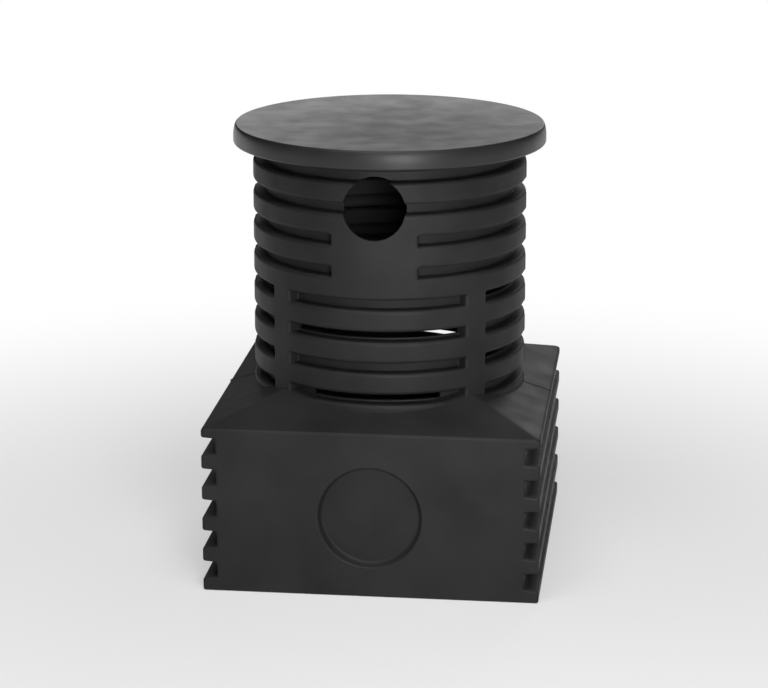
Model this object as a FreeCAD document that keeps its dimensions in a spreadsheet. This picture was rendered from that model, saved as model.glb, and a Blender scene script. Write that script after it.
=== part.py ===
import FreeCAD
import Part
import Sketcher
import os

# Pump vault: a ribbed square base, a hip roof and a grooved round riser moulded in one hollow
# piece of even wall, with a loose twin-wall lid on its mouth.
# Millimetres, +Z up, front face towards -Y, origin under the middle of the base.

SIZES = (
    ("wall", 5, "moulded wall thickness"),
    ("base_width", 457, "base, left to right"),
    ("base_depth", 476, "base, front to back"),
    ("eave_height", 230, "floor to eave edge"),
    ("edge_radius", 5, "rounding of the base's outer edges and hips"),
    ("roof_slope", 18, "hip roof pitch, degrees"),
    ("side_groove_first", 30.5, "floor to the middle of the lowest side groove"),
    ("side_groove_last", 23.9, "middle of the highest side groove to the eave edge"),
    ("side_groove_opening", 27, "side groove height at the outer face"),
    ("side_groove_depth", 20, "side groove depth"),
    ("side_groove_draft", 4, "side groove draft, degrees a side"),
    ("side_groove_count", 5, "side grooves on each side"),
    ("pad_diameter", 138, "recessed round pad in the front face"),
    ("pad_height", 112.5, "floor to the middle of the pad"),
    ("pad_depth", 11, "pad recess depth"),
    ("pad_draft", 30, "pad wall draft, degrees"),
    ("riser_diameter", 378, "riser over its bands, at its top"),
    ("riser_draft", 0.1, "widening of the riser towards its foot, degrees a side"),
    ("foot_land", 8.1, "plain land between the roof and the lowest riser groove"),
    ("band_pitch", 43.6, "riser groove spacing"),
    ("band_opening", 19, "riser groove height at the outer face"),
    ("band_depth", 17, "riser groove depth"),
    ("corner_land", 9.2, "plain land between lower groove groups, degrees"),
    ("front_land", 35, "plain land under the discharge hole, degrees"),
    ("mouth_lip", 2, "riser top's overhang past the groove floors, around the mouth"),
    ("discharge_diameter", 84, "round discharge hole in the riser's front"),
    ("discharge_drop", 58.2, "riser top to the middle of the discharge hole"),
    ("slot_height", 10, "inlet slot height"),
    ("slot_lift", 1.5, "inlet slot above the middle of its groove"),
    ("slot_end_land", 1, "groove floor left at each end of a slot, degrees"),
    ("foot_slot_span", 60, "slot angle in the lowest groove, where the roof rises, degrees"),
    ("lid_overhang", 27, "lid rim past the riser, all round"),
    ("lid_thickness", 26, "lid, over the riser's top"),
    ("lid_wall", 5, "lid wall thickness"),
    ("lid_top_bevel", 2, "bevel of the lid's top edge"),
    ("lid_bottom_bevel", 2.5, "bevel of the lid's bottom edge"),
    ("plug_depth", 14, "plug under the lid, below the riser's top"),
    ("plug_clearance", 2, "gap between the plug and the mouth, all round"),
    ("vent_diameter", 8, "moulding vent in the plug's underside"),
)

# Groove rows of the riser, counted from the lowest. The lower rows are cut in four groups with a
# land at each corner of the base, the middle rows leave a land under the discharge hole, and the
# upper rows run all the way round.
LOWER_ROWS = (0, 1, 2, 3)
MIDDLE_ROWS = (4, 5)
UPPER_ROWS = (6, 7)
GROUP_COUNT = 4

# The lands between the lower groups stand over the corners of the base.
LAND_TURN = 45

# Rows whose groove floor is cut through as a water inlet, front and back, then on the two sides.
FRONT_SLOT_ROWS = (0, 2)
SIDE_SLOT_ROWS = (1, 3)

# How far a cutting profile passes the face that it opens.
OVERRUN = 10

doc = FreeCAD.newDocument("PumpVault")
sheet = doc.addObject("Spreadsheet::Sheet", "Sizes")
for line, (alias, size, note) in enumerate(SIZES, 1):
    sheet.set(f"A{line}", note)
    sheet.set(f"B{line}", str(size))
    sheet.setAlias(f"B{line}", alias)
doc.recompute()

RISER_RADIUS = "Sizes.riser_diameter / 2"
LONG_HALF = "max(Sizes.base_width; Sizes.base_depth) / 2"
ROOF_FOOT = f"Sizes.eave_height + ({LONG_HALF} - {RISER_RADIUS}) * tan(Sizes.roof_slope)"


def row_height(row):
    return f"({ROOF_FOOT} + Sizes.foot_land + Sizes.band_opening / 2 + {row} * Sizes.band_pitch)"


RISER_TOP = f"({row_height(UPPER_ROWS[-1])} + Sizes.band_opening / 2 + Sizes.wall)"
MOUTH_RADIUS = f"({RISER_RADIUS} - Sizes.band_depth - Sizes.wall - Sizes.mouth_lip)"
LID_RADIUS = f"({RISER_RADIUS} + Sizes.lid_overhang)"
GROUP_SPAN = f"(360 / {GROUP_COUNT} - Sizes.corner_land) * 1 deg"


def number(expression):
    return float(sheet.evalExpression(expression))


def plane_of(body, role):
    return next(item for item in body.Origin.OriginFeatures if item.Role == role)


def place_on(feature, body, role, offset="0"):
    feature.AttachmentSupport = [(plane_of(body, role), "")]
    feature.MapMode = "FlatFace"
    feature.setExpression("AttachmentOffset.Base.z", offset)


def new_sketch(body, role, name, offset="0"):
    sketch = body.newObject("Sketcher::SketchObject", name)
    place_on(sketch, body, role, offset)
    return sketch


def draw_outline(sketch, corners):
    """Closed polygon; each corner is held by an expression across and one up the sketch."""
    points = [FreeCAD.Vector(number(across), number(up), 0) for across, up in corners]
    first = sketch.GeometryCount
    count = len(points)
    for i in range(count):
        sketch.addGeometry(Part.LineSegment(points[i], points[(i + 1) % count]))
    for i in range(count):
        sketch.addConstraint(Sketcher.Constraint("Coincident", first + i, 2, first + (i + 1) % count, 1))
    for i, (across, up) in enumerate(corners):
        hold_point(sketch, first + i, 1, points[i], across, up)


def draw_rectangle(sketch, width, depth):
    x = f"({width}) / 2"
    y = f"({depth}) / 2"
    draw_outline(sketch, [(f"-{x}", f"-{y}"), (x, f"-{y}"), (x, y), (f"-{x}", y)])


def draw_circle(sketch, radius, up="0"):
    centre = FreeCAD.Vector(0, number(up), 0)
    index = sketch.addGeometry(Part.Circle(centre, FreeCAD.Vector(0, 0, 1), number(radius)))
    hold_point(sketch, index, 3, centre, "0", up)
    size = sketch.addConstraint(Sketcher.Constraint("Radius", index, number(radius)))
    sketch.setExpression(f"Constraints[{size}]", radius)


def hold_point(sketch, geometry, vertex, point, across, up):
    for kind, axis, expression, place in (
        ("DistanceX", -2, across, point.x),
        ("DistanceY", -1, up, point.y),
    ):
        if expression == "0":
            sketch.addConstraint(Sketcher.Constraint("PointOnObject", geometry, vertex, axis))
            continue
        index = sketch.addConstraint(Sketcher.Constraint(kind, -1, 1, geometry, vertex, place))
        sketch.setExpression(f"Constraints[{index}]", expression)


def pad(body, sketch, name, length, taper="0"):
    feature = body.newObject("PartDesign::Pad", name)
    feature.Profile = sketch
    feature.setExpression("Length", length)
    feature.setExpression("TaperAngle", taper)
    doc.recompute()


def cut_checked(feature, before):
    """A cut that misses the solid leaves its volume as it was."""
    doc.recompute()
    if not feature.Shape.Volume < before:
        raise RuntimeError(f"{feature.Label} cuts nothing")
    return feature


def pocket(body, sketch, name, length=None, taper="0", reverse=False, both_ways=False):
    before = body.Shape.Volume
    feature = body.newObject("PartDesign::Pocket", name)
    feature.Profile = sketch
    feature.Reversed = reverse
    feature.setExpression("TaperAngle", taper)
    if both_ways:
        feature.SideType = "Symmetric"
    if length is None:
        feature.Type = "ThroughAll"
    else:
        feature.setExpression("Length", length)
    return cut_checked(feature, before)


def groove(body, sketch, name, angle):
    before = body.Shape.Volume
    feature = body.newObject("PartDesign::Groove", name)
    feature.Profile = sketch
    feature.ReferenceAxis = (sketch, ["V_Axis"])
    feature.Midplane = True
    feature.setExpression("Angle", angle)
    return cut_checked(feature, before)


def polar_copies(body, originals, name, count):
    before = body.Shape.Volume
    feature = body.newObject("PartDesign::PolarPattern", name)
    feature.Originals = originals
    feature.Axis = (plane_of(body, "Z_Axis"), [""])
    feature.Angle = 360
    feature.Occurrences = count
    body.Tip = feature
    return cut_checked(feature, before)


def groove_profile(sketch, face, depth, opening, draft, middle, inset):
    """Section of a groove that enters from the face and narrows inwards, grown by the inset.

    The face is a signed distance across the sketch. The section passes the face by the overrun.
    """
    sign = "-" if face.startswith("-") else ""
    reach = face.lstrip("-")
    growth = f"({inset}) / cos({draft})"
    floor = f"{sign}(({reach}) - {depth} - ({inset}))"
    mouth = f"{sign}(({reach}) + {OVERRUN})"
    floor_half = f"({opening} / 2 - ({depth} + ({inset})) * tan({draft}) + {growth})"
    mouth_half = f"({opening} / 2 + {OVERRUN} * tan({draft}) + {growth})"
    draw_outline(
        sketch,
        [
            (floor, f"{middle} - {floor_half}"),
            (mouth, f"{middle} - {mouth_half}"),
            (mouth, f"{middle} + {mouth_half}"),
            (floor, f"{middle} + {floor_half}"),
        ],
    )


def cut_side_grooves(body, inset):
    sketch = new_sketch(body, "XZ_Plane", f"{body.Name}_side_groove_section")
    groove_profile(
        sketch, "Sizes.base_width / 2", "Sizes.side_groove_depth", "Sizes.side_groove_opening",
        "Sizes.side_groove_draft", "Sizes.side_groove_first", inset,
    )
    single = pocket(body, sketch, f"{body.Name}_side_groove", both_ways=True)
    before = body.Shape.Volume
    column = doc.addObject("PartDesign::LinearPattern", f"{body.Name}_side_groove_column")
    column.Direction = (plane_of(body, "Z_Axis"), [""])
    column.Mode = "Spacing"
    climb = "Sizes.eave_height - Sizes.side_groove_first - Sizes.side_groove_last"
    column.setExpression("Offset", f"({climb}) / (Sizes.side_groove_count - 1)")
    column.setExpression("Occurrences", "Sizes.side_groove_count")
    mirror = doc.addObject("PartDesign::Mirrored", f"{body.Name}_side_groove_mirror")
    mirror.MirrorPlane = (plane_of(body, "YZ_Plane"), [""])
    both_sides = body.newObject("PartDesign::MultiTransform", f"{body.Name}_side_grooves")
    both_sides.Originals = [single]
    both_sides.Transformations = [column, mirror]
    body.Tip = both_sides
    cut_checked(both_sides, before)


def cut_pad_recess(body, inset):
    sketch = new_sketch(body, "XZ_Plane", f"{body.Name}_pad_circle", f"Sizes.base_depth / 2 - ({inset})")
    growth = f"({inset}) / cos(Sizes.pad_draft) - ({inset}) * tan(Sizes.pad_draft)"
    draw_circle(sketch, f"Sizes.pad_diameter / 2 + {growth}", "Sizes.pad_height")
    pocket(body, sketch, f"{body.Name}_pad_recess", "Sizes.pad_depth", "-Sizes.pad_draft")


def cut_riser_groove(body, row, inset, face, angle):
    sketch = new_sketch(body, "YZ_Plane", f"{body.Name}_band_section_{row}")
    groove_profile(sketch, face, "Sizes.band_depth", "Sizes.band_opening", "0", row_height(row), inset)
    return groove(body, sketch, f"{body.Name}_band_{row}", angle)


def cut_riser_grooves(body, inset):
    front = f"-({RISER_RADIUS})"
    back = RISER_RADIUS
    end_growth = f"2 * asin(({inset}) / ({RISER_RADIUS} - Sizes.band_depth / 2))"
    for row in UPPER_ROWS:
        cut_riser_groove(body, row, inset, front, "360")
    for row in MIDDLE_ROWS:
        cut_riser_groove(body, row, inset, back, f"(360 - Sizes.front_land) * 1 deg + {end_growth}")
    group_angle = f"{GROUP_SPAN} + {end_growth}"
    lower = [cut_riser_groove(body, row, inset, front, group_angle) for row in LOWER_ROWS]
    polar_copies(body, lower, f"{body.Name}_band_groups", GROUP_COUNT)


def make_riser(name, inset):
    """Riser column with its grooves, shrunk by the inset all over."""
    body = doc.addObject("PartDesign::Body", name)
    column = new_sketch(body, "XY_Plane", f"{name}_circle", "Sizes.eave_height / 2")
    column.AttachmentOffset.Rotation = FreeCAD.Rotation(FreeCAD.Vector(0, 0, 1), LAND_TURN)
    length = f"({RISER_TOP} - ({inset}) - Sizes.eave_height / 2)"
    draw_circle(column, f"{RISER_RADIUS} - ({inset}) + {length} * tan(Sizes.riser_draft)")
    pad(body, column, f"{name}_column", length, "-Sizes.riser_draft")
    cut_riser_grooves(body, inset)
    return body


def add_roof(body, width, depth, eave):
    """Hip roof cut off level inside the riser. The wedge's second axis is upright."""
    run = f"({LONG_HALF} - {RISER_RADIUS} / 2)"
    roof = body.newObject("PartDesign::AdditiveWedge", f"{body.Name}_roof")
    place_on(roof, body, "XZ_Plane")
    spans = {
        "Xmin": f"-({width}) / 2",
        "Xmax": f"({width}) / 2",
        "Zmin": f"-({depth}) / 2",
        "Zmax": f"({depth}) / 2",
        "Ymin": eave,
        "Ymax": f"{eave} + {run} * tan(Sizes.roof_slope)",
        "X2min": f"-(({width}) / 2 - {run})",
        "X2max": f"({width}) / 2 - {run}",
        "Z2min": f"-(({depth}) / 2 - {run})",
        "Z2max": f"({depth}) / 2 - {run}",
    }
    for side, expression in spans.items():
        roof.setExpression(side, expression)
    doc.recompute()


def round_edges(body):
    """Rounds every outer edge of the box and its roof, apart from those of the roof's hidden flat top."""
    before = body.Tip
    roof_top = before.Shape.BoundBox.ZMax
    chosen = [
        f"Edge{index}"
        for index, edge in enumerate(before.Shape.Edges, 1)
        if min(vertex.Z for vertex in edge.Vertexes) < roof_top - number("Sizes.edge_radius")
    ]
    feature = body.newObject("PartDesign::Fillet", f"{body.Name}_rounds")
    feature.Base = (before, chosen)
    feature.setExpression("Radius", "Sizes.edge_radius")
    doc.recompute()


def make_base(name, inset):
    """Base box with its hip roof, side grooves and pad recess, shrunk by the inset all over."""
    body = doc.addObject("PartDesign::Body", name)
    width = f"Sizes.base_width - 2 * ({inset})"
    depth = f"Sizes.base_depth - 2 * ({inset})"
    eave = f"Sizes.eave_height - ({inset}) * (1 / cos(Sizes.roof_slope) - tan(Sizes.roof_slope))"
    floor_plan = new_sketch(body, "XY_Plane", f"{name}_floor_plan", inset)
    draw_rectangle(floor_plan, width, depth)
    pad(body, floor_plan, f"{name}_box", f"{eave} - ({inset})")
    add_roof(body, width, depth, eave)
    if inset == "0":
        round_edges(body)
    cut_side_grooves(body, inset)
    cut_pad_recess(body, inset)
    return body


def fuse(name, pieces):
    joined = doc.addObject("Part::MultiFuse", name)
    joined.Shapes = pieces
    joined.Refine = True
    return joined


def make_shell():
    wall = "Sizes.wall"
    outer = fuse("outer_form", [make_base("base_form", "0"), make_riser("riser_form", "0")])
    inner = fuse("inner_form", [make_base("base_hollow", wall), make_riser("riser_hollow", wall)])
    shell = doc.addObject("Part::Cut", "moulding")
    shell.Base = outer
    shell.Tool = inner
    doc.recompute()
    return shell


def cut_slot(body, row, role, span):
    sketch = new_sketch(body, role, f"slot_section_{row}")
    floor = f"{RISER_RADIUS} - Sizes.band_depth"
    inner = f"-({floor} - Sizes.wall - {OVERRUN})"
    outer = f"-({RISER_RADIUS})"
    low = f"{row_height(row)} + Sizes.slot_lift - Sizes.slot_height / 2"
    high = f"{row_height(row)} + Sizes.slot_lift + Sizes.slot_height / 2"
    draw_outline(sketch, [(outer, low), (inner, low), (inner, high), (outer, high)])
    return groove(body, sketch, f"slot_{row}", span)


def make_vault_body():
    body = doc.addObject("PartDesign::Body", "vault_body")
    body.BaseFeature = make_shell()
    doc.recompute()
    mouth = new_sketch(body, "XY_Plane", "mouth_circle", RISER_TOP)
    draw_circle(mouth, MOUTH_RADIUS)
    pocket(body, mouth, "mouth", "2 * Sizes.wall")
    discharge = new_sketch(body, "XZ_Plane", "discharge_circle")
    draw_circle(discharge, "Sizes.discharge_diameter / 2", f"{RISER_TOP} - Sizes.discharge_drop")
    pocket(body, discharge, "discharge_hole", reverse=True)
    full_span = f"{GROUP_SPAN} - 2 * Sizes.slot_end_land * 1 deg"
    spans = {row: full_span for row in LOWER_ROWS}
    spans[LOWER_ROWS[0]] = "Sizes.foot_slot_span"
    front_slots = [cut_slot(body, row, "YZ_Plane", spans[row]) for row in FRONT_SLOT_ROWS]
    polar_copies(body, front_slots, "front_slots", 2)
    side_slots = [cut_slot(body, row, "XZ_Plane", spans[row]) for row in SIDE_SLOT_ROWS]
    polar_copies(body, side_slots, "side_slots", 2)
    return body


def circle_edges(shape, radius, height):
    """Names of the full circles of a radius at a height."""
    names = []
    for index, edge in enumerate(shape.Edges, 1):
        curve = edge.Curve
        if not isinstance(curve, Part.Circle):
            continue
        if abs(curve.Radius - radius) < 1e-4 and abs(curve.Center.z - height) < 1e-4:
            names.append(f"Edge{index}")
    return names


def bevel_rim(body, size, height, name):
    before = body.Tip
    feature = body.newObject("PartDesign::Chamfer", name)
    feature.Base = (before, circle_edges(before.Shape, number(LID_RADIUS), number(height)))
    feature.setExpression("Size", size)
    doc.recompute()


def make_lid():
    body = doc.addObject("PartDesign::Body", "lid")
    rim = LID_RADIUS
    top = f"{RISER_TOP} + Sizes.lid_thickness"
    plug = f"{MOUTH_RADIUS} - Sizes.plug_clearance"
    plug_bottom = f"{RISER_TOP} - Sizes.plug_depth"
    section = new_sketch(body, "XZ_Plane", "lid_section")
    draw_outline(
        section,
        [
            ("0", plug_bottom),
            (plug, plug_bottom),
            (plug, RISER_TOP),
            (rim, RISER_TOP),
            (rim, top),
            ("0", top),
        ],
    )
    turned = body.newObject("PartDesign::Revolution", "lid_form")
    turned.Profile = section
    turned.ReferenceAxis = (section, ["V_Axis"])
    turned.Angle = 360
    doc.recompute()
    bevel_rim(body, "Sizes.lid_top_bevel", top, "lid_top_bevelled")
    bevel_rim(body, "Sizes.lid_bottom_bevel", RISER_TOP, "lid_bottom_bevelled")
    hollow = new_sketch(body, "XZ_Plane", "lid_hollow_section")
    draw_outline(
        hollow,
        [
            ("0", f"{plug_bottom} + Sizes.lid_wall"),
            (f"{plug} - Sizes.lid_wall", f"{plug_bottom} + Sizes.lid_wall"),
            (f"{plug} - Sizes.lid_wall", f"{RISER_TOP} + Sizes.lid_wall"),
            (f"{rim} - Sizes.lid_wall", f"{RISER_TOP} + Sizes.lid_wall"),
            (f"{rim} - Sizes.lid_wall", f"{top} - Sizes.lid_wall"),
            ("0", f"{top} - Sizes.lid_wall"),
        ],
    )
    groove(body, hollow, "lid_hollow", "360")
    vent = new_sketch(body, "XY_Plane", "vent_circle", plug_bottom)
    draw_circle(vent, "Sizes.vent_diameter / 2")
    pocket(body, vent, "vent", "2 * Sizes.lid_wall", reverse=True)
    return body


def export(pieces):
    doc.recompute()
    for item in doc.Objects:
        if "Invalid" in item.State or "Error" in item.State:
            raise RuntimeError(f"{item.Label} failed")
    for piece in pieces:
        if piece.Shape.isNull() or not piece.Shape.isValid():
            raise RuntimeError(f"{piece.Label} has no valid shape")
    os.makedirs("parts", exist_ok=True)
    for piece in pieces:
        piece.Shape.exportStep(f"parts/{piece.Label}.step")


export([make_vault_body(), make_lid()])
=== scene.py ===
import math
import bmesh
import bpy
import numpy as np
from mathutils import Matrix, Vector


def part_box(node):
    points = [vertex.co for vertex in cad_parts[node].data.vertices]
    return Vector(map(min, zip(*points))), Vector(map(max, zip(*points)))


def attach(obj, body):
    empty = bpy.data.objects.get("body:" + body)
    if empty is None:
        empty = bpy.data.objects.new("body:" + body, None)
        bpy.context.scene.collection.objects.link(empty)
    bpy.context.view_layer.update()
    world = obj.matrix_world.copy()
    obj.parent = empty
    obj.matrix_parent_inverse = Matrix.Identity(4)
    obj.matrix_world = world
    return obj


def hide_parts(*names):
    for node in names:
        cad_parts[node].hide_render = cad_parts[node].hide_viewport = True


# Pump vault: one hollow black moulding (ribbed base, hip roof, grooved riser) and its loose lid.
# Metres, +Z up, front towards -Y, origin on the floor under the middle of the base.

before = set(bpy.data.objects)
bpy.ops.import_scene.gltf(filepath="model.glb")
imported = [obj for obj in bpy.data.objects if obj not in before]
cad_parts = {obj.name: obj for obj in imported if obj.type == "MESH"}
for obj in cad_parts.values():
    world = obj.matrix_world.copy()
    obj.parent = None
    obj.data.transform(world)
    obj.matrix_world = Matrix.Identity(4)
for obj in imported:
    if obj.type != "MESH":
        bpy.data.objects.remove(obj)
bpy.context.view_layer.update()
_, body_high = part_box("vault_body")
lid_low, lid_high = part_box("lid")
MM = 0.001

# Overall sizes, read from the frame.
HALF_WIDTH = body_high.x
HALF_DEPTH = body_high.y
RISER_TOP = body_high.z
LID_RADIUS = lid_high.x
LID_TOP = lid_high.z
PLUG_BOTTOM = lid_low.z

# Base.
WALL = 5 * MM
EAVE = 230 * MM
ROOF_SLOPE = math.radians(18)
RIB_ROUND = 3.4 * MM
RIB_CORNER_ROUND = 4.8 * MM
SIDE_GROOVE_FIRST = 29.8 * MM
SIDE_GROOVE_PITCH = 43.9 * MM
SIDE_GROOVE_COUNT = 5
SIDE_GROOVE_OPENING = 24.5 * MM
SIDE_GROOVE_DEPTH = 20 * MM
SIDE_GROOVE_DRAFT = math.radians(4)

# Round pad, recessed in the front of the base.
PAD_RADIUS = 70.5 * MM
PAD_HEIGHT = 112.5 * MM
PAD_DEPTH = 11 * MM
PAD_DRAFT = math.radians(20)
PAD_LIP = 3 * MM
PAD_FOOT = 5 * MM

# Riser. Rows are counted from the lowest, and the band opening places them.
RISER_RADIUS = 189 * MM
RISER_DRAFT = math.radians(0.1)
TOP_ROUND = 2 * MM
BAND_PITCH = 43.6 * MM
BAND_OPENING = 19 * MM
BAND_DEPTH = 17 * MM
ROW_COUNT = 8
LOWER_ROWS = (0, 1, 2, 3)
MIDDLE_ROWS = (4, 5)
GROUP_COUNT = 4
CORNER_LAND = math.radians(9.2)
FRONT_LAND = math.radians(35)
FRONT = math.radians(-90)

# Section of a riser groove: its width between the walls, its rounded lip and foot, and how far a wall leans.
# The ends beside the plain front land lean more.
BAND_GROOVE = 15 * MM
BAND_LIP_REACH = 5 * MM
BAND_LIP_DEPTH = 3.5 * MM
BAND_FOOT = 2.4 * MM
BAND_LEAN = 0.4 * MM
FRONT_END_LEAN = 3 * MM

# Openings of the riser. Slot edges are heights over the middle of the row. The lowest slot at the back lies
# higher than the others, and its lower edge isn't level.
MOUTH_LIP = 2 * MM
MOUTH_RADIUS = RISER_RADIUS - BAND_DEPTH - WALL - MOUTH_LIP
HOLE_RADIUS = 42 * MM
HOLE_DROP = 58.2 * MM
HOLE_HEIGHT = RISER_TOP - HOLE_DROP
SLOT_LOW = -4.5 * MM
SLOT_HIGH = 6.5 * MM
BACK_FOOT_SLOT_LOW = 2.2 * MM
BACK_FOOT_SLOT_HIGH = 7.4 * MM
BACK_FOOT_SLOT_TILT = 2.4 * MM
SLOT_END_LAND = math.radians(1)
FOOT_SLOT_SPAN = math.radians(60)
FRONT_SLOT_ROWS = (0, 2)
SIDE_SLOT_ROWS = (1, 3)

# Parting line of the two mould halves, in the plane y = 0.
PARTING_HEIGHT = 0.8 * MM
PARTING_HALF_WIDTH = 1.4 * MM

# Lid. Its rim ends in a tall oval round at the top. Its top sinks towards the middle and carries two waves,
# one of two lobes and a weaker one of three, each turned by its own angle in radians.
LID_TOP_ROUND = 4.5 * MM
LID_TOP_FALL = 18 * MM
LID_BOTTOM_ROUND = 3 * MM
PLUG_CLEARANCE = 2 * MM
PLUG_RADIUS = MOUTH_RADIUS - PLUG_CLEARANCE
PLUG_ROUND = 2 * MM
LID_DISH = 2.6 * MM
LID_WAVE = 0.5 * MM
TWO_LOBE_TURN = 0.6
THREE_LOBE_TURN = -1.1
THREE_LOBE_SHARE = 0.7
EDGE_FADE_POWER = 4

# How finely round forms are divided.
COLUMN_STEP = math.radians(2.4)
INNER_COLUMN_STEP = math.radians(6)
OUTER_ROUND_STEPS = 5
INNER_ROUND_STEPS = 1
EDGE_ROUND_STEPS = 4
PAD_ROUND_STEPS = 4
LID_BOTTOM_STEPS = 6
LID_RIM_STEPS = 12
LID_TOP_RINGS = 26
LID_COLUMNS = 160
CUTTER_COLUMNS = 96

# Flat tips that close a turned form at its middle.
PAD_TIP_RADIUS = 2 * MM
LID_TIP_RADIUS = 4 * MM

# Edges that turn more than these angles are rounded, or stay sharp in the shading.
ROUNDED_ANGLE = math.radians(20)
SMOOTH_ANGLE = math.radians(40)

# How far a cutting form passes the surface that it opens, how far round, in degrees, the pad's lip passes the
# face, and what counts as the same place or the same angle, the last also as a number of decimals.
OVERRUN = 12 * MM
LIP_OVERRUN = 5
WELD_DISTANCE = MM / 200
SAME_ANGLE = 1e-4
ANGLE_DECIMALS = 6

# Polyethylene. A noise is its scale and its detail, and most of its values lie between the low and the high.
PLASTIC_IOR = 1.5
NOISE_LOW = 0.3
NOISE_HIGH = 0.7
MOTTLE_NOISE = (9, 5)
MOTTLE_DARK = (0.75, 0.75, 0.78)
MOTTLE_LIGHT = (1.35, 1.35, 1.36)
ROUGHNESS_NOISE = (26, 4)
ROUGHNESS_SWING = 0.05
WAVE_NOISE = (11, 1)
WAVE_DISTANCE = 1 * MM
GRAIN_NOISE = (900, 2)
GRAIN_DISTANCE = 0.2 * MM
GRAIN_STRENGTH = 0.12

# Floor: how far it reaches, its own colour, and from where to where it turns white, with the share of white
# that it has near the object.
FLOOR_REACH = 30
FLOOR_SHADE = 0.93
FLOOR_ROUGHNESS = 0.9
FLOOR_WHITE_FROM = 0.25
FLOOR_WHITE_FULL = 1.5
FLOOR_WHITE_NEAR = 0.45
WHITE = (1, 1, 1, 1)

# Camera, fitted to the photograph. The lens and the sensor are in millimetres.
CAMERA_PLACE = (0.4133, -3.6083, 1.2909)
CAMERA_DIP = math.radians(15.40)
CAMERA_TURN = math.radians(6.66)
CAMERA_LENS = 125.17
CAMERA_SENSOR = 36


# Meshes.


def mesh_object(name, points, faces):
    mesh = bpy.data.meshes.new(name)
    mesh.from_pydata([tuple(point) for point in points], [], faces)
    work = bmesh.new()
    work.from_mesh(mesh)
    bmesh.ops.recalc_face_normals(work, faces=work.faces)
    work.to_mesh(mesh)
    work.free()
    piece = bpy.data.objects.new(name, mesh)
    bpy.context.scene.collection.objects.link(piece)
    return piece


def solid_from_rings(name, rings):
    """Closed solid over rings with as many points each, from one flat end to the other."""
    count = len(rings[0])
    faces = [tuple(reversed(range(count)))]
    for low in range(0, (len(rings) - 1) * count, count):
        for i in range(count):
            j = (i + 1) % count
            faces.append((low + i, low + j, low + count + j, low + count + i))
    last = (len(rings) - 1) * count
    faces.append(tuple(range(last, last + count)))
    return mesh_object(name, np.concatenate(rings), faces)


def prism_faces(count):
    """Two ends, then the sides in turn, of a prism whose ends have the points of one section each."""
    faces = [tuple(range(count)), tuple(reversed(range(count, 2 * count)))]
    for i in range(count):
        j = (i + 1) % count
        faces.append((i, count + i, count + j, j))
    return faces


def circle(radius, height, columns):
    angles = np.arange(columns) * 2 * math.pi / columns
    return np.column_stack([radius * np.cos(angles), radius * np.sin(angles), np.full(columns, height)])


def upright_circle(radius, y, height):
    """Circle round an axis that runs from front to back."""
    flat = circle(radius, 0, CUTTER_COLUMNS)
    return np.column_stack([flat[:, 0], np.full(len(flat), y), height - flat[:, 1]])


def oval(centre, reach, rise, start, end, steps):
    """Points of a part of an oval as (across, along) pairs, angles in degrees."""
    angles = np.radians(np.linspace(start, end, steps + 1))
    return [(centre[0] + reach * math.cos(a), centre[1] + rise * math.sin(a)) for a in angles]


def arc(centre, radius, start, end, steps):
    return oval(centre, radius, radius, start, end, steps)


def apply_modifiers(piece):
    bpy.context.view_layer.update()
    graph = bpy.context.evaluated_depsgraph_get()
    old = piece.data
    piece.data = bpy.data.meshes.new_from_object(piece.evaluated_get(graph))
    piece.modifiers.clear()
    bpy.data.meshes.remove(old)


def combine(piece, tool, operation):
    """Joins the tool to the piece, or cuts it out, and takes the tool away."""
    step = piece.modifiers.new(operation, "BOOLEAN")
    step.operation = operation
    step.solver = "EXACT"
    step.object = tool
    apply_modifiers(piece)
    bpy.data.meshes.remove(tool.data)


def round_edges(piece, edge_width, corner_width):
    """Rounds outward edges and inner corners, each by its own width."""
    work = bmesh.new()
    work.from_mesh(piece.data)
    widths = [edge_width if edge.is_convex else corner_width for edge in work.edges]
    turned = [edge.calc_face_angle(0) > ROUNDED_ANGLE for edge in work.edges]
    work.free()
    largest = max(edge_width, corner_width)
    weights = piece.data.attributes.new("bevel_weight_edge", "FLOAT", "EDGE")
    weights.data.foreach_set("value", np.array(widths) / largest * np.array(turned))
    rounds = piece.modifiers.new("rounds", "BEVEL")
    rounds.width = largest
    rounds.segments = EDGE_ROUND_STEPS
    rounds.limit_method = "WEIGHT"
    apply_modifiers(piece)


def finish_mesh(piece):
    """Welds stray doubles and shades the rounds smooth, with the cut edges left sharp."""
    work = bmesh.new()
    work.from_mesh(piece.data)
    bmesh.ops.remove_doubles(work, verts=work.verts, dist=WELD_DISTANCE)
    bmesh.ops.dissolve_degenerate(work, edges=work.edges, dist=WELD_DISTANCE)
    bmesh.ops.recalc_face_normals(work, faces=work.faces)
    work.to_mesh(piece.data)
    work.free()
    piece.data.shade_smooth()
    piece.data.set_sharp_from_angle(angle=SMOOTH_ANGLE)
    normals = piece.modifiers.new("face_normals", "WEIGHTED_NORMAL")
    normals.keep_sharp = True


# Base.


def side_outline(inset):
    """Right-hand side of the base's section from the floor to the eave, as (x, z) points."""
    eave_drop = inset * (1 / math.cos(ROOF_SLOPE) - math.tan(ROOF_SLOPE))
    face = HALF_WIDTH - inset
    floor = face - SIDE_GROOVE_DEPTH
    growth = inset / math.cos(SIDE_GROOVE_DRAFT) + inset * math.tan(SIDE_GROOVE_DRAFT)
    mouth_half = SIDE_GROOVE_OPENING / 2 + growth
    floor_half = mouth_half - SIDE_GROOVE_DEPTH * math.tan(SIDE_GROOVE_DRAFT)
    outline = [(face, inset)]
    for i in range(SIDE_GROOVE_COUNT):
        middle = SIDE_GROOVE_FIRST + i * SIDE_GROOVE_PITCH
        outline.append((face, middle - mouth_half))
        outline.append((floor, middle - floor_half))
        outline.append((floor, middle + floor_half))
        outline.append((face, middle + mouth_half))
    outline.append((face, EAVE - eave_drop))
    return outline


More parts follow.
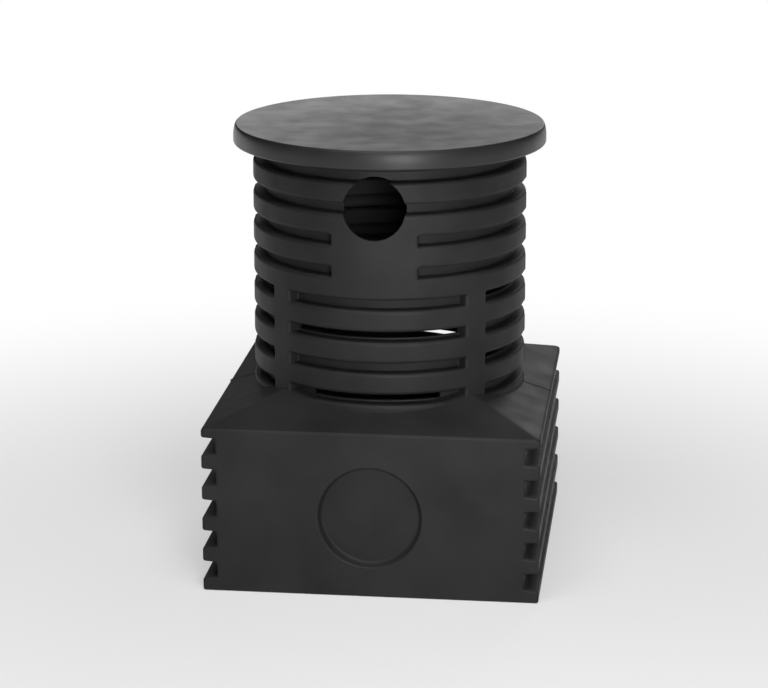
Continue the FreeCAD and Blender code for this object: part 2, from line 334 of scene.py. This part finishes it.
def base_solid(name, inset):
    """Base box with grooved sides and a hip roof that is cut off level inside the riser."""
    right = side_outline(inset)
    section = right + [(-x, z) for x, z in reversed(right)]
    count = len(section)
    depth = HALF_DEPTH - inset
    points = [(x, -depth, z) for x, z in section] + [(x, depth, z) for x, z in section]
    eave_right = len(right) - 1
    eave_left = len(right)
    ends_and_sides = prism_faces(count)
    level_top = (eave_right, count + eave_right, count + eave_left, eave_left)
    faces = [face for face in ends_and_sides if face != level_top]
    run = HALF_DEPTH - RISER_RADIUS / 2
    x, z = right[-1]
    top = z + run * math.tan(ROOF_SLOPE)
    top_x = x - run
    top_y = depth - run
    points += [(-top_x, -top_y, top), (top_x, -top_y, top), (top_x, top_y, top), (-top_x, top_y, top)]
    eave = [eave_left, eave_right, count + eave_right, count + eave_left]
    crown = [2 * count + i for i in range(4)]
    faces += [(eave[i], eave[i - 3], crown[i - 3], crown[i]) for i in range(4)]
    faces.append(tuple(crown))
    return mesh_object(name, points, faces)


def parting_ridge():
    """Thin raised line over the section of the base, where the two mould halves met."""
    right = [(min(x + PARTING_HEIGHT, HALF_WIDTH), z) for x, z in side_outline(0)]
    eave_x, eave_z = right[-1]
    right[-1] = (eave_x, eave_z + PARTING_HEIGHT)
    rise = (HALF_WIDTH - RISER_RADIUS / 2) * math.tan(ROOF_SLOPE)
    right.append((RISER_RADIUS / 2, EAVE + rise + PARTING_HEIGHT))
    section = right + [(-x, z) for x, z in reversed(right)]
    section = [(x, max(z, RIB_ROUND)) for x, z in section]
    points = [(x, y, z) for y in (-PARTING_HALF_WIDTH, PARTING_HALF_WIDTH) for x, z in section]
    ridge = mesh_object("parting_ridge", points, prism_faces(len(section)))
    round_edges(ridge, PARTING_HEIGHT / 2, PARTING_HEIGHT / 2)
    return ridge


def pad_form(name, growth):
    """Round recess in the front face, with a rounded lip, a leaning wall and a rounded foot.

    Growth makes it larger all round."""
    turn = math.pi / 2 - PAD_DRAFT
    rim = PAD_RADIUS + growth / math.cos(PAD_DRAFT)
    depth = PAD_DEPTH + growth
    floor_radius = rim - depth * math.tan(PAD_DRAFT)
    lip_centre = (rim + PAD_LIP * math.tan(turn / 2), PAD_LIP)
    foot_centre = (floor_radius - PAD_FOOT * math.tan(turn / 2), depth - PAD_FOOT)
    lean = math.degrees(turn)
    profile = [(lip_centre[0], -OVERRUN)]
    profile += arc(lip_centre, PAD_LIP, -90 - LIP_OVERRUN, -90 - lean, PAD_ROUND_STEPS)
    profile += arc(foot_centre, PAD_FOOT, 90 - lean, 90, PAD_ROUND_STEPS)
    profile.append((PAD_TIP_RADIUS, depth))
    rings = [upright_circle(radius, into - HALF_DEPTH, PAD_HEIGHT) for radius, into in profile]
    return solid_from_rings(name, rings[::-1])


# Riser.


def row_height(row):
    top_row = RISER_TOP - WALL - BAND_OPENING / 2
    return top_row - (ROW_COUNT - 1 - row) * BAND_PITCH


def groove_side(lean, steps):
    """Edge of a groove as (distance into the groove, depth) pairs: lip, wall and foot."""
    edge = oval((0, BAND_LIP_DEPTH), BAND_LIP_REACH, BAND_LIP_DEPTH, -90, 0, steps)
    foot_centre = (BAND_LIP_REACH + lean + BAND_FOOT, BAND_DEPTH - BAND_FOOT)
    edge += arc(foot_centre, BAND_FOOT, 180, 90, steps)
    return edge


def end_turn(inset):
    """Angle by which a groove reaches into the land at its end: half its lip, and the inset."""
    return math.asin((inset + BAND_LIP_REACH / 2) / RISER_RADIUS)


def group_half_span(inset):
    return math.pi / GROUP_COUNT - CORNER_LAND / 2 + end_turn(inset)


def land_half_span(inset):
    return FRONT_LAND / 2 - end_turn(inset)


def group_turns():
    return [FRONT + group * 2 * math.pi / GROUP_COUNT for group in range(GROUP_COUNT)]


def column_angles(inset, side, front_side, step):
    """Angles of the riser's columns: close together where a groove ends, evenly spread elsewhere."""
    marks = []
    for distance, _ in side:
        half = group_half_span(inset) - distance / RISER_RADIUS
        for centre in group_turns():
            marks += [centre - half, centre + half]
    for distance, _ in front_side:
        land = land_half_span(inset) + distance / RISER_RADIUS
        marks += [FRONT - land, FRONT + land]
    parting = PARTING_HALF_WIDTH / RISER_RADIUS
    marks += [side_turn + offset for side_turn in (0, math.pi) for offset in (-parting, 0, parting)]
    marks = sorted({round(mark % (2 * math.pi), ANGLE_DECIMALS) for mark in marks})
    angles = []
    for i, mark in enumerate(marks):
        gap = (marks[(i + 1) % len(marks)] - mark) % (2 * math.pi)
        pieces = max(1, math.ceil(gap / step))
        angles += [mark + gap * k / pieces for k in range(pieces)]
    return np.array(angles)


def turn_between(angles, direction):
    return abs((angles - direction + math.pi) % (2 * math.pi) - math.pi)


def groove_share(row, angles, inset, side, front_side):
    """How much of the groove's depth a row has at each angle, from 0 on a land to 1."""
    if row in LOWER_ROWS:
        nearest = np.min([turn_between(angles, centre) for centre in group_turns()], axis=0)
        inside = (group_half_span(inset) - nearest) * RISER_RADIUS
        end = side
    elif row in MIDDLE_ROWS:
        inside = (turn_between(angles, FRONT) - land_half_span(inset)) * RISER_RADIUS
        end = front_side
    else:
        return np.ones(len(angles))
    distances, depths = np.array(end).T
    return np.interp(inside, distances, depths / BAND_DEPTH)


def riser_profile(inset, side):
    """Section of the riser from inside the base to its top, as (height, depth, row) points."""
    half_mouth = BAND_GROOVE / 2 + BAND_LIP_REACH + inset
    profile = [(EAVE - 2 * OVERRUN, 0, 0)]
    for row in range(ROW_COUNT):
        middle = row_height(row)
        profile += [(middle - half_mouth + across, depth, row) for across, depth in side]
        profile += [(middle + half_mouth - across, depth, row) for across, depth in reversed(side)]
    top = RISER_TOP - inset
    profile = [point for point in profile if point[0] < top - TOP_ROUND]
    last_depth = profile[-1][1]
    profile.append((top - TOP_ROUND, last_depth, ROW_COUNT - 1))
    profile.append((top, last_depth + TOP_ROUND, ROW_COUNT - 1))
    return profile


def riser_solid(name, inset, steps, column_step):
    """Grooved riser, shrunk by the inset, from inside the base to its closed top."""
    side = groove_side(BAND_LEAN, steps)
    front_side = groove_side(FRONT_END_LEAN, steps)
    angles = column_angles(inset, side, front_side, column_step)
    on_parting_line = abs(np.sin(angles)) < SAME_ANGLE
    ridge = PARTING_HEIGHT * on_parting_line * (inset == 0)
    shares = [groove_share(row, angles, inset, side, front_side) for row in range(ROW_COUNT)]
    rings = []
    for height, depth, row in riser_profile(inset, side):
        widening = (RISER_TOP - height) * math.tan(RISER_DRAFT)
        reach = RISER_RADIUS - inset + widening + ridge - depth * shares[row]
        level = np.full(len(angles), height)
        rings.append(np.column_stack([reach * np.cos(angles), reach * np.sin(angles), level]))
    return solid_from_rings(name, rings)


def slot_edges(row, at_back):
    """Lower and upper edge of a slot, and the tilt of the lower one."""
    if row == 0 and at_back:
        return BACK_FOOT_SLOT_LOW, BACK_FOOT_SLOT_HIGH, BACK_FOOT_SLOT_TILT
    return SLOT_LOW, SLOT_HIGH, 0


def slot_cutter(row, direction, span, low, high, tilt):
    """Sector that cuts a slot through a groove's floor, between two heights over the row's middle.

    The tilt lifts one end of the lower edge and drops the other."""
    inner = RISER_RADIUS - BAND_DEPTH - WALL - OVERRUN
    bottom = row_height(row) + low
    top = row_height(row) + high
    rings = []
    for share in np.linspace(1, -1, max(2, math.ceil(span / COLUMN_STEP))):
        turn = direction + share * span / 2
        corners = [(inner, bottom + tilt * share), (RISER_RADIUS, bottom + tilt * share)]
        corners += [(RISER_RADIUS, top), (inner, top)]
        rings.append(np.array([(r * math.cos(turn), r * math.sin(turn), z) for r, z in corners]))
    return solid_from_rings(f"slot_cutter_{row}", rings)


def cut_slots(body):
    full_span = 2 * math.pi / GROUP_COUNT - CORNER_LAND - 2 * SLOT_END_LAND
    for rows, first in ((FRONT_SLOT_ROWS, FRONT), (SIDE_SLOT_ROWS, 0)):
        for row in rows:
            span = FOOT_SLOT_SPAN if row == 0 else full_span
            for at_back in (False, True):
                direction = first + math.pi * at_back
                combine(body, slot_cutter(row, direction, span, *slot_edges(row, at_back)), "DIFFERENCE")


def hole_cutter():
    ends = (-RISER_RADIUS - OVERRUN, -RISER_RADIUS / 2)
    return solid_from_rings("hole_cutter", [upright_circle(HOLE_RADIUS, y, HOLE_HEIGHT) for y in ends])


def mouth_cutter():
    levels = (RISER_TOP - 2 * WALL, RISER_TOP + OVERRUN)
    return solid_from_rings("mouth_cutter", [circle(MOUTH_RADIUS, z, LID_COLUMNS) for z in levels])


def make_body():
    body = base_solid("moulded_body", 0)
    round_edges(body, RIB_ROUND, RIB_CORNER_ROUND)
    combine(body, parting_ridge(), "UNION")
    combine(body, pad_form("pad_cutter", 0), "DIFFERENCE")
    combine(body, riser_solid("riser", 0, OUTER_ROUND_STEPS, COLUMN_STEP), "UNION")
    hollow = base_solid("hollow", WALL)
    combine(hollow, pad_form("pad_boss", WALL), "DIFFERENCE")
    combine(hollow, riser_solid("riser_hollow", WALL, INNER_ROUND_STEPS, INNER_COLUMN_STEP), "UNION")
    combine(body, hollow, "DIFFERENCE")
    combine(body, mouth_cutter(), "DIFFERENCE")
    combine(body, hole_cutter(), "DIFFERENCE")
    cut_slots(body)
    finish_mesh(body)
    return body


# Lid.


def lid_top_height(radius, angles):
    """Slightly dished, slightly uneven top, as a large flat moulding cools."""
    share = radius / LID_RADIUS
    edge_fade = max(0, 1 - share ** EDGE_FADE_POWER)
    two_lobes = np.sin(2 * angles + TWO_LOBE_TURN) * share ** 2
    three_lobes = THREE_LOBE_SHARE * np.sin(3 * angles + THREE_LOBE_TURN) * share
    wave = two_lobes + three_lobes
    return LID_TOP - (LID_DISH * (1 - share ** 2) + LID_WAVE * (1 + wave) / 2) * edge_fade


def make_lid():
    """Lid with its plug. It is solid, because its sealed hollow can't be seen."""
    angles = np.arange(LID_COLUMNS) * 2 * math.pi / LID_COLUMNS
    profile = [(PLUG_RADIUS - PLUG_ROUND, PLUG_BOTTOM), (PLUG_RADIUS, PLUG_BOTTOM + PLUG_ROUND)]
    profile.append((PLUG_RADIUS, RISER_TOP))
    bottom_centre = (LID_RADIUS - LID_BOTTOM_ROUND, RISER_TOP + LID_BOTTOM_ROUND)
    profile += arc(bottom_centre, LID_BOTTOM_ROUND, -90, 0, LID_BOTTOM_STEPS)
    rim_radius = LID_RADIUS - LID_TOP_ROUND
    rim_centre = (rim_radius, LID_TOP - LID_TOP_FALL)
    profile += oval(rim_centre, LID_TOP_ROUND, LID_TOP_FALL, 0, 90, LID_RIM_STEPS)
    rings = [circle(radius, height, LID_COLUMNS) for radius, height in profile]
    for radius in np.linspace(rim_radius, LID_TIP_RADIUS, LID_TOP_RINGS)[1:]:
        ring = circle(radius, 0, LID_COLUMNS)
        ring[:, 2] = lid_top_height(radius, angles)
        rings.append(ring)
    lid = solid_from_rings("moulded_lid", rings)
    finish_mesh(lid)
    return lid


# Materials.


def map_range(tree, source, source_span, result_span):
    """Carries one span of values over to another. Returns the node."""
    node = tree.nodes.new("ShaderNodeMapRange")
    node.inputs["From Min"].default_value = source_span[0]
    node.inputs["From Max"].default_value = source_span[1]
    node.inputs["To Min"].default_value = result_span[0]
    node.inputs["To Max"].default_value = result_span[1]
    tree.links.new(source, node.inputs["Value"])
    return node


def calculate(tree, operation, first, second):
    """Sum or product of two values, held between 0 and 1."""
    node = tree.nodes.new("ShaderNodeMath")
    node.operation = operation
    node.use_clamp = True
    tree.links.new(first, node.inputs[0])
    tree.links.new(second, node.inputs[1])
    return node.outputs["Value"]


def object_coordinates(tree):
    return tree.nodes.new("ShaderNodeTexCoord").outputs["Object"]


def moulded_polyethylene(name, shade, roughness, gloss, wave_strength):
    """Satin black polyethylene: a faint mottle in shade and gloss, a fine grain and a slow waviness."""
    material = bpy.data.materials.new(name)
    material.use_nodes = True
    tree = material.node_tree
    shader = tree.nodes["Principled BSDF"]
    shader.inputs["IOR"].default_value = PLASTIC_IOR
    shader.inputs["Specular IOR Level"].default_value = gloss
    place = object_coordinates(tree)

    def noise(scale, detail):
        node = tree.nodes.new("ShaderNodeTexNoise")
        node.inputs["Scale"].default_value = scale
        node.inputs["Detail"].default_value = detail
        tree.links.new(place, node.inputs["Vector"])
        return node.outputs["Fac"]

    def noise_between(kind, low, high):
        return map_range(tree, noise(*kind), (NOISE_LOW, NOISE_HIGH), (low, high)).outputs["Result"]

    def bump(kind, strength, distance):
        node = tree.nodes.new("ShaderNodeBump")
        node.inputs["Strength"].default_value = strength
        node.inputs["Distance"].default_value = distance
        tree.links.new(noise(*kind), node.inputs["Height"])
        return node

    mottle = tree.nodes.new("ShaderNodeMix")
    mottle.data_type = "RGBA"
    mottle.inputs["A"].default_value = [shade * part for part in MOTTLE_DARK] + [1]
    mottle.inputs["B"].default_value = [shade * part for part in MOTTLE_LIGHT] + [1]
    tree.links.new(noise_between(MOTTLE_NOISE, 0, 1), mottle.inputs["Factor"])
    tree.links.new(mottle.outputs["Result"], shader.inputs["Base Color"])
    uneven = noise_between(ROUGHNESS_NOISE, roughness - ROUGHNESS_SWING, roughness + ROUGHNESS_SWING)
    tree.links.new(uneven, shader.inputs["Roughness"])
    waves = bump(WAVE_NOISE, wave_strength, WAVE_DISTANCE)
    grain = bump(GRAIN_NOISE, GRAIN_STRENGTH, GRAIN_DISTANCE)
    tree.links.new(waves.outputs["Normal"], grain.inputs["Normal"])
    tree.links.new(grain.outputs["Normal"], shader.inputs["Normal"])
    return material


def dull_patch(material, centre, inner, outer, extra):
    """Adds roughness round a point of the upper face, most near it and none beyond the outer distance.

    Heights count for more than distances along the face, so that the rim keeps its gloss."""
    tree = material.node_tree
    rough = tree.nodes["Principled BSDF"].inputs["Roughness"]
    even = rough.links[0].from_socket
    steep = 8
    stretched = tree.nodes.new("ShaderNodeMapping")
    stretched.inputs["Scale"].default_value = (1, 1, steep)
    tree.links.new(object_coordinates(tree), stretched.inputs["Vector"])
    away = tree.nodes.new("ShaderNodeVectorMath")
    away.operation = "DISTANCE"
    away.inputs[1].default_value = (centre[0], centre[1], centre[2] * steep)
    tree.links.new(stretched.outputs["Vector"], away.inputs[0])
    fade = map_range(tree, away.outputs["Value"], (inner, outer), (extra, 0))
    tree.links.new(calculate(tree, "ADD", even, fade.outputs["Result"]), rough)


def pale_floor():
    """Pale paper. Away from the object it turns to plain white for what the camera and reflections see."""
    paper = bpy.data.materials.new("pale_floor")
    paper.use_nodes = True
    tree = paper.node_tree
    plain = tree.nodes["Principled BSDF"]
    plain.inputs["Base Color"].default_value = (FLOOR_SHADE, FLOOR_SHADE, FLOOR_SHADE, 1)
    plain.inputs["Roughness"].default_value = FLOOR_ROUGHNESS
    white = tree.nodes.new("ShaderNodeEmission")
    white.inputs["Color"].default_value = WHITE
    white.inputs["Strength"].default_value = 1
    distance = tree.nodes.new("ShaderNodeVectorMath")
    distance.operation = "LENGTH"
    tree.links.new(object_coordinates(tree), distance.inputs[0])
    turning = (FLOOR_WHITE_FROM, FLOOR_WHITE_FULL)
    share = map_range(tree, distance.outputs["Value"], turning, (FLOOR_WHITE_NEAR, 1))
    share.interpolation_type = "SMOOTHSTEP"
    path = tree.nodes.new("ShaderNodeLightPath")
    seen = path.outputs["Is Camera Ray"]
    for kind in ("Is Glossy Ray", "Is Transmission Ray"):
        seen = calculate(tree, "ADD", seen, path.outputs[kind])
    mix = tree.nodes.new("ShaderNodeMixShader")
    tree.links.new(calculate(tree, "MULTIPLY", seen, share.outputs["Result"]), mix.inputs["Fac"])
    tree.links.new(plain.outputs["BSDF"], mix.inputs[1])
    tree.links.new(white.outputs["Emission"], mix.inputs[2])
    tree.links.new(mix.outputs["Shader"], tree.nodes["Material Output"].inputs["Surface"])
    return paper


def dress(piece, node, material):
    piece.data.materials.clear()
    piece.data.materials.append(material)
    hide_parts(node)
    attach(piece, "root")


# Stage, light and camera.


def make_floor():
    signs = [(-1, -1), (1, -1), (1, 1), (-1, 1)]
    corners = [(x * FLOOR_REACH, y * FLOOR_REACH, 0) for x, y in signs]
    floor = mesh_object("floor", corners, [(0, 1, 2, 3)])
    floor.data.materials.append(pale_floor())


def soft_box(name, place, target, width, depth, radiance, spread=180):
    """Rectangular lamp of a given radiance along its axis, which is its energy over four times its area.

    A spread under 180 degrees makes its light fall off sideways, and the energy is lowered to suit."""
    light = bpy.data.lights.new(name, "AREA")
    light.shape = "RECTANGLE"
    light.size = width
    light.size_y = depth
    half = math.radians(spread) / 2
    light.spread = 2 * half
    beam = 1 - half / math.tan(half)
    light.energy = 4 * radiance * width * depth * beam
    lamp = bpy.data.objects.new(name, light)
    lamp.location = place
    lamp.rotation_euler = (Vector(target) - Vector(place)).to_track_quat("-Z", "Y").to_euler()
    lamp.visible_camera = False
    bpy.context.scene.collection.objects.link(lamp)


def make_world(radiance):
    world = bpy.data.worlds.new("studio")
    world.use_nodes = True
    background = world.node_tree.nodes["Background"]
    background.inputs["Color"].default_value = WHITE
    background.inputs["Strength"].default_value = radiance
    bpy.context.scene.world = world


def make_camera():
    camera = bpy.data.cameras.new("camera")
    camera.sensor_width = CAMERA_SENSOR
    camera.lens = CAMERA_LENS
    view = bpy.data.objects.new("camera", camera)
    view.location = CAMERA_PLACE
    view.rotation_euler = (math.pi / 2 - CAMERA_DIP, 0, CAMERA_TURN)
    bpy.context.scene.collection.objects.link(view)
    bpy.context.scene.camera = view


body_material = moulded_polyethylene(
    "body_polyethylene", shade=0.021, roughness=0.57, gloss=0.22, wave_strength=0.2
)
dress(make_body(), "vault_body", body_material)
lid_material = moulded_polyethylene(
    "lid_polyethylene", shade=0.02, roughness=0.34, gloss=0.36, wave_strength=0.08
)
dull_patch(lid_material, centre=(0.06, -0.11, LID_TOP), inner=0.06, outer=0.29, extra=0.13)
dress(make_lid(), "lid", lid_material)

make_floor()
soft_box(
    "key", place=(0.45, -1.75, 0.75), target=(0.03, -0.15, 0.4),
    width=0.5, depth=0.5, radiance=23, spread=70,
)
soft_box(
    "overhead", place=(0, -1, 2.3), target=(0, -0.1, 0.2),
    width=1.6, depth=1, radiance=4,
)
soft_box(
    "back_panel", place=(-0.34, 2.6, 1.45), target=(-0.34, 0, 0.6),
    width=1.36, depth=1.3, radiance=0.97,
)
soft_box(
    "right_back_panel", place=(0.76, 2.6, 1.45), target=(0.76, 0, 0.6),
    width=0.84, depth=1.3, radiance=2.1,
)
make_world(radiance=0.02)
make_camera()
bpy.context.scene.view_settings.view_transform = "Standard"
